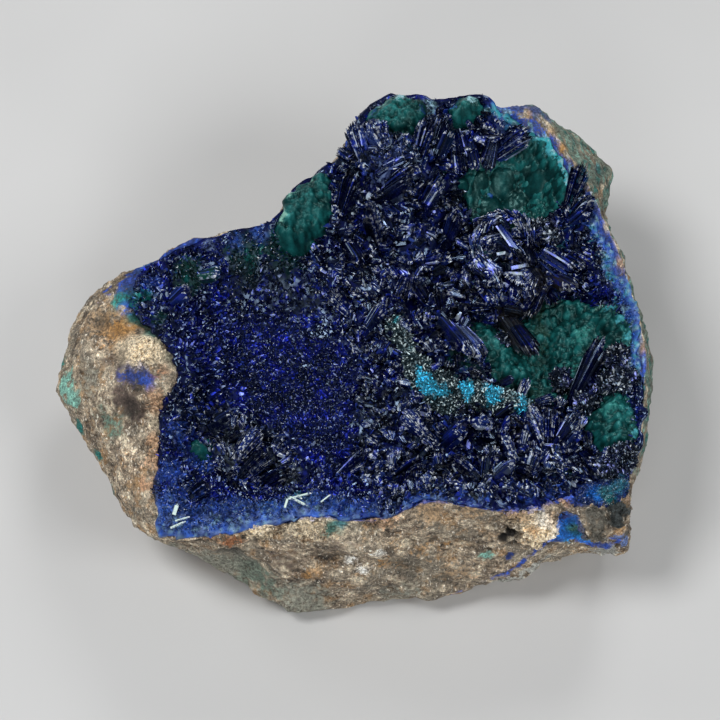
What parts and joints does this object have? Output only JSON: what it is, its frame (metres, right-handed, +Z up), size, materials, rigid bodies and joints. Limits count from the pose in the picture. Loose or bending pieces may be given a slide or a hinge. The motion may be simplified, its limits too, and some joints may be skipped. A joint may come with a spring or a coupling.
{
  "type": "azurite mineral specimen",
  "caption": "Hand-sized mineral specimen: a hollow in brown rock lined with deep blue azurite crystals and blades, with pockets of lumpy green malachite.",
  "frame": {"origin": "under the middle of the specimen's bounding box, in the plane of its flat underside", "axes": "+Z up out of the crystal-lined hollow, +X along the specimen's length towards its high right-hand rim, +Y towards its narrower top lobe"},
  "size_m": [0.0886, 0.0752, 0.0356],
  "materials": {
    "rock": "rough, matt, iron-stained",
    "azurite": "glassy crystal faces",
    "malachite": "satin, lumpy",
    "chrysocolla": "sugary crystal crust"
  },
  "bodies": {
    "root": {"host_rock": "rock", "azurite_crust": "azurite", "malachite_upper_pocket": "malachite", "malachite_right_pocket": "malachite", "malachite_middle": "malachite", "malachite_lower_right": "malachite", "malachite_left_rim": "malachite", "malachite_top_left_rim": "malachite", "malachite_top_rim": "malachite", "chrysocolla_band": "chrysocolla"}
  },
  "joints": []
}
